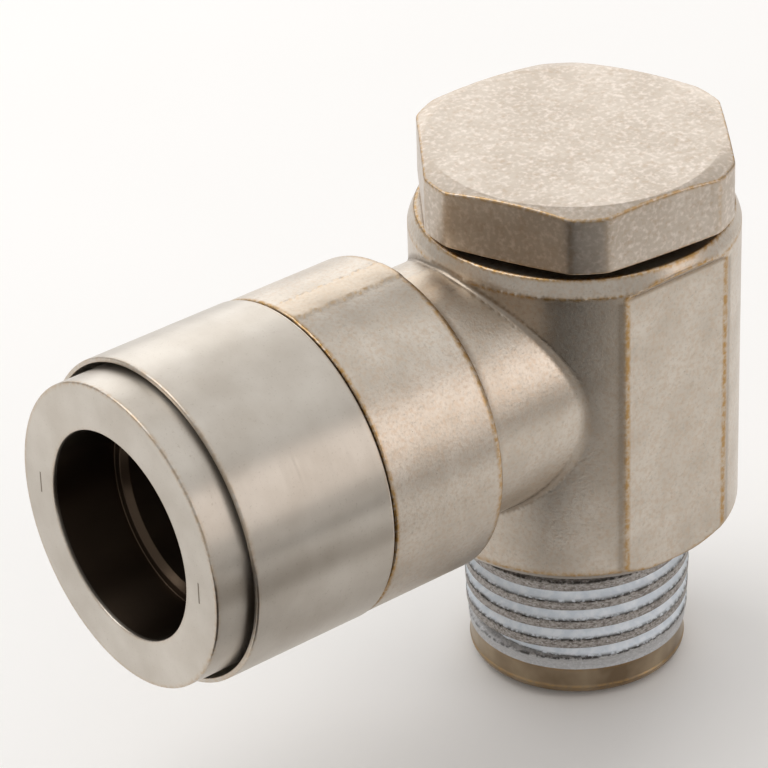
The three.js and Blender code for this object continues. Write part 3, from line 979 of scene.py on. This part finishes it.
@dataclass
class BanjoBody:
    """The forged body: barrel, wrench flats, neck, boss and spigot as one distance field, meshed finely."""

    finishes: Finishes
    radius: float = 9.3  # of the barrel, with the heights of its ends
    low: float = 9.55
    high: float = 29.14
    rim: float = 8.88  # radius of the faced ring on top
    shoulder: float = 28.2  # where the turned cone round the top starts
    flat: float = 8.55  # how far a wrench flat is from the middle, and the height where it ends
    flat_high: float = 27.83
    neck: float = 7.4  # radii and ends of the arm's steps
    boss: float = 9.17
    boss_back: float = -12.83
    boss_front: float = -20.38
    spigot: float = 8.2
    spigot_front: float = -22.6
    step: float = 0.18  # spacing of the grid that the surface is drawn from

    def distance(self, points: np.ndarray) -> np.ndarray:
        """Gives the distance of points from the body's surface, negative inside the metal."""
        x, y, z = points[..., 0], points[..., 1], points[..., 2]
        swing = np.hypot(x, y)
        reach = np.hypot(y, z - ARM_Z)
        barrel = soft_max(swing - self.radius, self.low - z, 0.1)
        barrel = soft_max(barrel, ((swing - self.radius) - (z - self.low - 0.7)) * math.sqrt(0.5), 0.15)
        beyond = np.abs(y) - self.flat
        run_out = (beyond - (z - self.flat_high)) * math.sqrt(0.5)
        barrel = soft_max(barrel, soft_min(beyond, run_out, 0.12), 0.05)
        barrel = np.maximum(barrel, z - self.high)
        boss = soft_max(reach - self.boss - self.flash(x, y, z), x - self.boss_back, 0.5)
        boss = soft_max(boss, self.boss_front - x, 0.12)
        neck = soft_max(reach - self.neck, np.maximum(x + 2, -20 - x), 0.1)
        arm = soft_min(boss, neck, 1.3)
        whole = soft_min(barrel, arm, 0.28)
        spigot = soft_max(reach - self.spigot, np.maximum(self.spigot_front - x, x + 18), 0.2)
        whole = np.minimum(whole, spigot)
        slant = math.atan2(self.radius - self.rim, self.high - self.shoulder)
        cone = ((swing - self.rim) - (self.high - z) * math.tan(slant)) * math.cos(slant)
        machined = np.minimum(np.minimum(z - self.shoulder, cone), 11.6 - swing)
        whole = soft_max(whole, machined, 0.12)
        whole = soft_max(whole, np.where(swing < 11.6, z - self.high, -1.0), 0.1)
        clip = np.maximum(swing - 7.9, z - 10.8)
        seat = np.maximum(reach - 7.45, x + 14.6)
        tube = np.maximum(reach - 5.15, x + 11)
        flow = np.maximum(reach - 4, x)
        for hollow in (swing - 6.9, clip, seat, tube, flow):
            whole = soft_max(whole, -hollow, 0.12)
        return whole

    def flash(self, x: np.ndarray, y: np.ndarray, z: np.ndarray) -> np.ndarray:
        """Gives the height of the trimmed flash that the dies leave along the parting plane."""
        width = 0.95
        ragged = 0.06 * np.sin(5.1 * x + 1) + 0.05 * np.sin(11.7 * x) + 0.03 * np.sin(23.0 * x + 2)
        inside = 1 / (1 + np.exp((np.abs(y) - width - ragged) / 0.04))
        rough = 0.055 + 0.006 * np.sin(1.7 * x + 2 * y) + 0.005 * np.sin(5.3 * x - 3 * y)
        return inside * rough

    def net(self) -> tuple[np.ndarray, np.ndarray]:
        """Draws the surface as a net of quads through every grid cell that it crosses.

        Returns:
            The vertices and the quads.
        """
        pad = 2.5 * self.step
        low = np.array([self.spigot_front, -self.radius, self.low]) - pad
        high = np.array([self.radius, self.radius, self.high + 0.8]) + pad
        counts = np.ceil((high - low) / self.step).astype(int) + 1
        axes = [low[k] + self.step * np.arange(counts[k]) for k in range(3)]
        values = self.distance(np.stack(np.meshgrid(*axes, indexing="ij"), -1)).astype(np.float32)
        inside = values < 0
        cells = tuple(c - 1 for c in counts)
        total, hits = np.zeros(cells + (3,), np.float32), np.zeros(cells, np.int8)
        for k in range(3):
            others = [m for m in range(3) if m != k]
            first = np.take(values, range(counts[k] - 1), k)
            last = np.take(values, range(1, counts[k]), k)
            crossed = (first < 0) != (last < 0)
            share = np.where(crossed, first / np.where(crossed, first - last, 1), 0)
            for shift in ((0, 0), (0, 1), (1, 0), (1, 1)):
                window = [slice(None)] * 3
                for other, move in zip(others, shift):
                    window[other] = slice(move, counts[other] - 1 + move)
                here = crossed[tuple(window)]
                hits += here
                offset = np.zeros(3, np.float32)
                offset[others[0]], offset[others[1]] = shift
                for m in range(3):
                    along = share[tuple(window)] if m == k else offset[m]
                    total[..., m] += np.where(here, along, 0)
        active = hits > 0
        number = np.full(cells, -1)
        number[active] = np.arange(active.sum())
        place = np.argwhere(active) + total[active] / hits[active][:, None]
        quads = []
        for k in range(3):
            a, b = (k + 1) % 3, (k + 2) % 3
            first = np.take(inside, range(counts[k] - 1), k)
            last = np.take(inside, range(1, counts[k]), k)
            at = np.argwhere(first != last)
            at = at[(at[:, a] > 0) & (at[:, b] > 0)]
            ring = []
            for da, db in ((0, 0), (-1, 0), (-1, -1), (0, -1)):
                cell = at.copy()
                cell[:, a] += da
                cell[:, b] += db
                ring.append(number[tuple(cell.T)])
            ring = np.stack(ring, -1)
            outward = first[tuple(at.T)]
            quads.append(np.where(outward[:, None], ring[:, ::1], ring[:, ::-1]))
        return low + place * self.step, np.concatenate(quads)

    def slope(self, points: np.ndarray, reach: float = 0.02) -> np.ndarray:
        """Gives the outward unit normal of the distance field at points."""
        parts = []
        for k in range(3):
            shift = np.zeros(3)
            shift[k] = reach
            parts.append(self.distance(points + shift) - self.distance(points - shift))
        normal = np.stack(parts, -1)
        return normal / np.maximum(np.linalg.norm(normal, axis=-1, keepdims=True), 1e-9)

    def settle(self, points: np.ndarray, quads: np.ndarray) -> np.ndarray:
        """Evens out the net and pulls it onto the surface."""
        links = np.concatenate([quads[:, [0, 1]], quads[:, [1, 2]], quads[:, [2, 3]], quads[:, [3, 0]]])
        degree = np.bincount(links.ravel(), minlength=len(points))[:, None]
        for _ in range(3):
            total = np.zeros_like(points)
            for k in range(3):
                total[:, k] = np.bincount(links[:, 0], points[links[:, 1], k], len(points))
                total[:, k] += np.bincount(links[:, 1], points[links[:, 0], k], len(points))
            points = points * 0.5 + 0.5 * total / degree
            for _ in range(2):
                points = points - self.distance(points)[:, None] * self.slope(points)
        return points

    def curve(self, points: np.ndarray, reach: float = 0.16) -> np.ndarray:
        """Gives how sharply the surface bends: positive on an outer edge, negative in an inner one."""
        total = -6 * self.distance(points)
        for k in range(3):
            shift = np.zeros(3)
            shift[k] = reach
            total = total + self.distance(points + shift) + self.distance(points - shift)
        return total / reach

    def build(self) -> None:
        """Makes the body from its distance field."""
        points, quads = self.net()
        points = self.settle(points, quads)
        normals = self.slope(points)
        bend = self.curve(points)
        wear = np.clip((bend - 0.1) * 4.0, 0, 1)
        # painted shade: darker where the surface bends inward
        hollow = np.clip((-bend - 0.05) * 7, 0, 1)
        x, y, z = points.T
        side = np.abs(y) - self.flat
        round_part = (np.hypot(x, y) > self.radius - 0.06) & (x > -5)
        flat_half = 3.66  # half the width of the flat
        beside = np.abs(np.abs(x) - flat_half) < 0.25
        upright = np.exp(-((side / 0.07) ** 2)) * beside * (z < self.flat_high + 0.1)
        arch = np.exp(-(((z - self.flat_high) / 0.09) ** 2)) * (np.abs(side) < 0.1)
        wear = np.maximum(wear, np.maximum(upright, arch))
        # painted reflection: a dark band on the barrel beside each wrench flat's edge
        hollow = np.maximum(hollow, 0.8 * np.exp(-(((side + 0.14) / 0.09) ** 2)) * round_part * (z < 27.6))
        top = (z > ARM_Z + 5) & (x < -9.5) & (x > self.boss_front)
        # less painted shade along the trimmed flash on top of the boss
        hollow = np.where(top & (np.abs(y) < 1.5), 0.15 * hollow, hollow)
        flash = np.where(top, self.flash(x, y, z) / 0.04, 0).clip(0, 1)
        masks = {"wear": wear, "hollow": hollow, "flash": flash}
        skin = Skin(points, quads.tolist(), normals, masks)
        piece = skin.make("banjo_body_forged", "swivel_body", "forged_nickel", [self.finishes.forged])
        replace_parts(piece, "banjo_body")


# ---- The push-in port ---------------------------------------------------------------------------


@dataclass
class PushInPort:
    """The sleeve, guide ring, rubber sleeve, claws and release ring at the end of the arm."""

    finishes: Finishes
    bore: float = 6.1  # surfaces nearer the arm's axis than this get the bores' painted shade

    def make(self, node: str, made: str, corners: Sequence[Corner], body: str, columns: int = 256) -> None:
        """Turns one piece about the arm's axis and puts it in place of its node.

        Args:
            node: the frame node that it stands for.
            made: how it was made, which ends its name.
            corners: its outline, anticlockwise with X along.
            body: the body it rides on.
            columns: vertices round the axis.
        """
        skin = turned(rounded(corners), Axis.ARM, columns)
        # painted shade: surfaces inside a bore, back from the piece's front edge, are marked for a darker
        # colour
        reach = np.hypot(skin.points[:, 1], skin.points[:, 2] - ARM_Z)
        behind = skin.points[:, 0] > skin.points[:, 0].min() + 0.12
        skin.masks["bore"] = (behind & (reach < self.bore)).astype(float)
        name, slot = f"{node}_{made}", "seal_rubber" if made == "moulded" else "satin_nickel"
        material = {
            "elastic_sleeve": self.finishes.rubber,
            "release_ring": self.finishes.turned_ring,
        }.get(node, self.finishes.turned_arm)
        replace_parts(skin.make(name, body, slot, [material]), node)

    def make_sleeve(self) -> None:
        """Makes the outer sleeve, with its thin bright mouth and the lip inside."""
        front, back = float(SLEEVE_BOX[0][0]), float(SLEEVE_BOX[1][0])
        radius, mouth, grip, lip, inner = 9.23, 8.95, 8.3, 7.1, 7.65
        corners = [
            Corner(mouth, front + 3.3, 0.1), Corner(mouth, front, 0.06, 0.5),
            Corner(radius, front, 0.14, 0.5), Corner(radius, back, 0.16, 0.35), Corner(grip, back),
            Corner(grip, -23.05), Corner(inner, -23.05), Corner(inner, -25.2),
            Corner(lip, -25.2, 0.15), Corner(lip, front + 3.3, 0.15),
        ]  # fmt: skip
        self.make("outer_sleeve", "turned", corners[::-1], "swivel_body")

    def make_ring(self) -> None:
        """Makes the release ring, from its pressed face to the nose that opens the claws."""
        front = float(box_mm("release_ring")[0][0])
        mouth, flange, nose, bore = 5.95, 8.66, 6.95, 5.19
        corners = [
            Corner(mouth, front + 4.05, 0.08), Corner(mouth, front, 0.12, 0.3),
            Corner(flange, front, 0.14, 0.6), Corner(flange, front + 3.48, 0.15),
            Corner(nose, front + 3.48, 0.2), Corner(nose, -25.1), Corner(7.3, -25.1),
            Corner(nose, -24.5), Corner(6.4, -24.1, 0.15), Corner(5.45, -24.1, 0.1),
            Corner(bore, -24.4, 0.1), Corner(bore, front + 4.45, 0.1),
            Corner(5.5, front + 4.05, 0.12, 0.2),
        ]  # fmt: skip
        self.make("release_ring", "turned", corners[::-1], "release_button")

    def make_inside(self) -> None:
        """Makes the guide ring and the rubber sleeve, and dresses the claws."""
        guide = [
            Corner(5.3, -19.3, 0.1), Corner(5.3, -21.03, 0.1), Corner(7.0, -22.35, 0.1),
            Corner(7.35, -22.35, 0.1), Corner(7.35, -19.3, 0.15),
        ]  # fmt: skip
        self.make("guide_ring", "turned", guide[::-1], "swivel_body", 128)
        rubber = [
            Corner(5.2, -19.15, 0.3), Corner(6.85, -19.15, 0.2), Corner(7.35, -18.65, 0.3),
            Corner(7.35, -15.2, 0.3), Corner(6.85, -14.7, 0.2), Corner(5.2, -14.7, 0.3),
            Corner(5.7, -16.0, 0.5), Corner(5.7, -17.85, 0.5),
        ]  # fmt: skip
        self.make("elastic_sleeve", "moulded", rubber, "swivel_body", 128)
        dress_node("lock_claws", self.finishes.stainless)

    def build(self) -> None:
        """Makes the port's pieces."""
        self.make_sleeve()
        self.make_ring()
        self.make_inside()


# ---- The studio ---------------------------------------------------------------------------------


@dataclass(frozen=True)
class Panel:
    """One soft light.

    Attributes:
        name: its name.
        azimuth: its direction from the elbow, in degrees from +X towards +Y.
        elevation: its height above the elbow, in degrees.
        distance: how far away it is, in millimetres.
        width: its width in millimetres.
        height: its height in millimetres.
        radiance: how bright its face is, where 1 is white.
        colour: its colour.
        reflected: whether polished metal mirrors it.
    """

    name: str
    azimuth: float
    elevation: float
    distance: float
    width: float
    height: float
    radiance: float
    colour: str = "#ffffff"
    reflected: bool = True


@dataclass
class Studio:
    """The pale floor, the soft lights and the camera."""

    panels: tuple[Panel, ...] = (
        Panel("back_panel", 55, 20, 380, 400, 270, 1.14),
        Panel("front_panel", -54, 21, 380, 150, 230, 1.35, "#fff3ec"),
        Panel("top_panel", 122, 60, 330, 260, 260, 2.2),
        Panel("sky_panel", -28, 62, 330, 330, 200, 0.5),
        Panel("fill_panel", -125, 18, 400, 330, 240, 0.45, reflected=False),
    )

    azimuth: float = -37.77  # the camera's direction and its turn about its own axis, in degrees
    elevation: float = 31.25
    roll: float = -1.923
    distance: float = 233.2  # from the point it aims at, in millimetres
    lens: float = 199.75
    aim: tuple[float, float, float] = (-13.99, 0.0, 20.99)
    side: float = 0.128  # how far it stands to the right of that line, and above it
    rise: float = 1.553

    def axes(self) -> tuple[Vector, Vector, Vector]:
        """Gives the camera's right, up and backward directions before it rolls."""
        azimuth, elevation = math.radians(self.azimuth), math.radians(self.elevation)
        flat = math.cos(elevation)
        back = Vector((math.sin(azimuth) * flat, -math.cos(azimuth) * flat, math.sin(elevation)))
        right = Vector((0, 0, 1)).cross(back).normalized()
        return right, back.cross(right), back

    def camera(self) -> None:
        """Makes the camera."""
        right, up, back = self.axes()
        roll = math.radians(self.roll)
        tilted = right * math.cos(roll) + up * math.sin(roll)
        upward = up * math.cos(roll) - right * math.sin(roll)
        data = bpy.data.cameras.new("camera")
        data.lens, data.sensor_width, data.clip_start, data.clip_end = self.lens, 36, 0.01, 10
        camera = bpy.data.objects.new("camera", data)
        place = Vector(self.aim) + tilted * self.side + upward * self.rise + back * self.distance
        matrix = camera.matrix_world.copy()
        for row in range(3):
            matrix[row][0], matrix[row][1], matrix[row][2] = tilted[row], upward[row], back[row]
            matrix[row][3] = place[row] * MM
        camera.matrix_world = matrix
        bpy.context.scene.collection.objects.link(camera)
        bpy.context.scene.camera = camera

    def panel(self, light: "Panel") -> None:
        """Adds one soft panel that faces the elbow's middle.

        Args:
            light: where it is, its size and its brightness.
        """
        data = bpy.data.lights.new(light.name, "AREA")
        data.shape, data.size, data.size_y = "RECTANGLE", light.width * MM, light.height * MM
        data.energy = light.radiance * math.pi * light.width * light.height * MM * MM
        data.color = srgb(light.colour)[:3]
        lamp = bpy.data.objects.new(light.name, data)
        azimuth, elevation = math.radians(light.azimuth), math.radians(light.elevation)
        flat = math.cos(elevation)
        away = Vector((math.cos(azimuth) * flat, math.sin(azimuth) * flat, math.sin(elevation)))
        lamp.location = (Vector((-11, 0, 18)) + away * light.distance) * MM
        lamp.rotation_euler = away.to_track_quat("Z", "Y").to_euler()
        lamp.visible_camera = False
        lamp.visible_glossy = light.reflected
        bpy.context.scene.collection.objects.link(lamp)

    def floor(self) -> None:
        """Makes the pale floor that the thread's tip stands on."""
        nodes = Nodes("studio_floor")
        colour = nodes.add(Kind.MIX, nodes.blotches(40, 2), srgb("#f7f6f4"), srgb("#fbfaf9"))
        nodes.set(Base_Color=colour, Roughness=0.9, Specular_IOR_Level=0.1)
        mesh = bpy.data.meshes.new("studio_floor")
        half, sunk = 3.0, -0.0003
        corners = [(-half, -half, sunk), (half, -half, sunk), (half, half, sunk), (-half, half, sunk)]
        mesh.from_pydata(corners, [], [(0, 1, 2, 3)])
        mesh.materials.append(nodes.material)
        floor = bpy.data.objects.new("studio_floor", mesh)
        bpy.context.scene.collection.objects.link(floor)

    def card(self, name: str, tone: str, corners: Sequence[tuple[float, float]]) -> None:
        """Lays a dark card on the floor, which only the metal's reflections see.

        Args:
            name: its name.
            tone: its colour.
            corners: its corners on the floor in millimetres, clockwise.
        """
        nodes = Nodes(name)
        nodes.set(Base_Color=srgb(tone), Roughness=0.9, Specular_IOR_Level=0.1)
        mesh = bpy.data.meshes.new(name)
        flat = [(x * MM, y * MM, 0.0002) for x, y in corners]
        mesh.from_pydata(flat, [], [tuple(range(len(corners)))[::-1]])
        mesh.materials.append(nodes.material)
        card = bpy.data.objects.new(name, mesh)
        card.visible_camera = False
        card.visible_diffuse = False
        card.visible_shadow = False
        bpy.context.scene.collection.objects.link(card)

    def world(self) -> None:
        """Sets an even, pale world."""
        world = bpy.data.worlds.new("studio")
        world.use_nodes = True
        background = world.node_tree.nodes["Background"]
        background.inputs["Color"].default_value = srgb("#eceae8")
        background.inputs["Strength"].default_value = 0.62
        bpy.context.scene.world = world

    def build(self) -> None:
        """Sets the stage."""
        self.camera()
        self.floor()
        near = [(-24, -16), (-16, -60), (0, -82), (-150, -82), (-150, -6), (-40, -8)]
        self.card("near_card", "#2c2927", near)
        self.card("side_card", "#a8a39d", [(-20.5, -29), (2, -29), (2, -82), (0, -82), (-16, -60)])
        self.card("far_card", "#24221f", [(90, -84), (130, -150), (-10, -150), (-10, -84)])
        self.world()
        for light in self.panels:
            self.panel(light)
        settings = bpy.context.scene.view_settings
        settings.view_transform = "Standard"
        settings.exposure = 0.0


def main() -> None:
    """Builds the stage and every piece, in order."""
    logging.basicConfig(level=logging.INFO, format="%(name)s: %(message)s")
    Studio().build()
    finishes = Finishes.build()
    HollowBolt(finishes).build()
    BanjoBody(finishes).build()
    PushInPort(finishes).build()


if __name__ == "__main__":
    main()
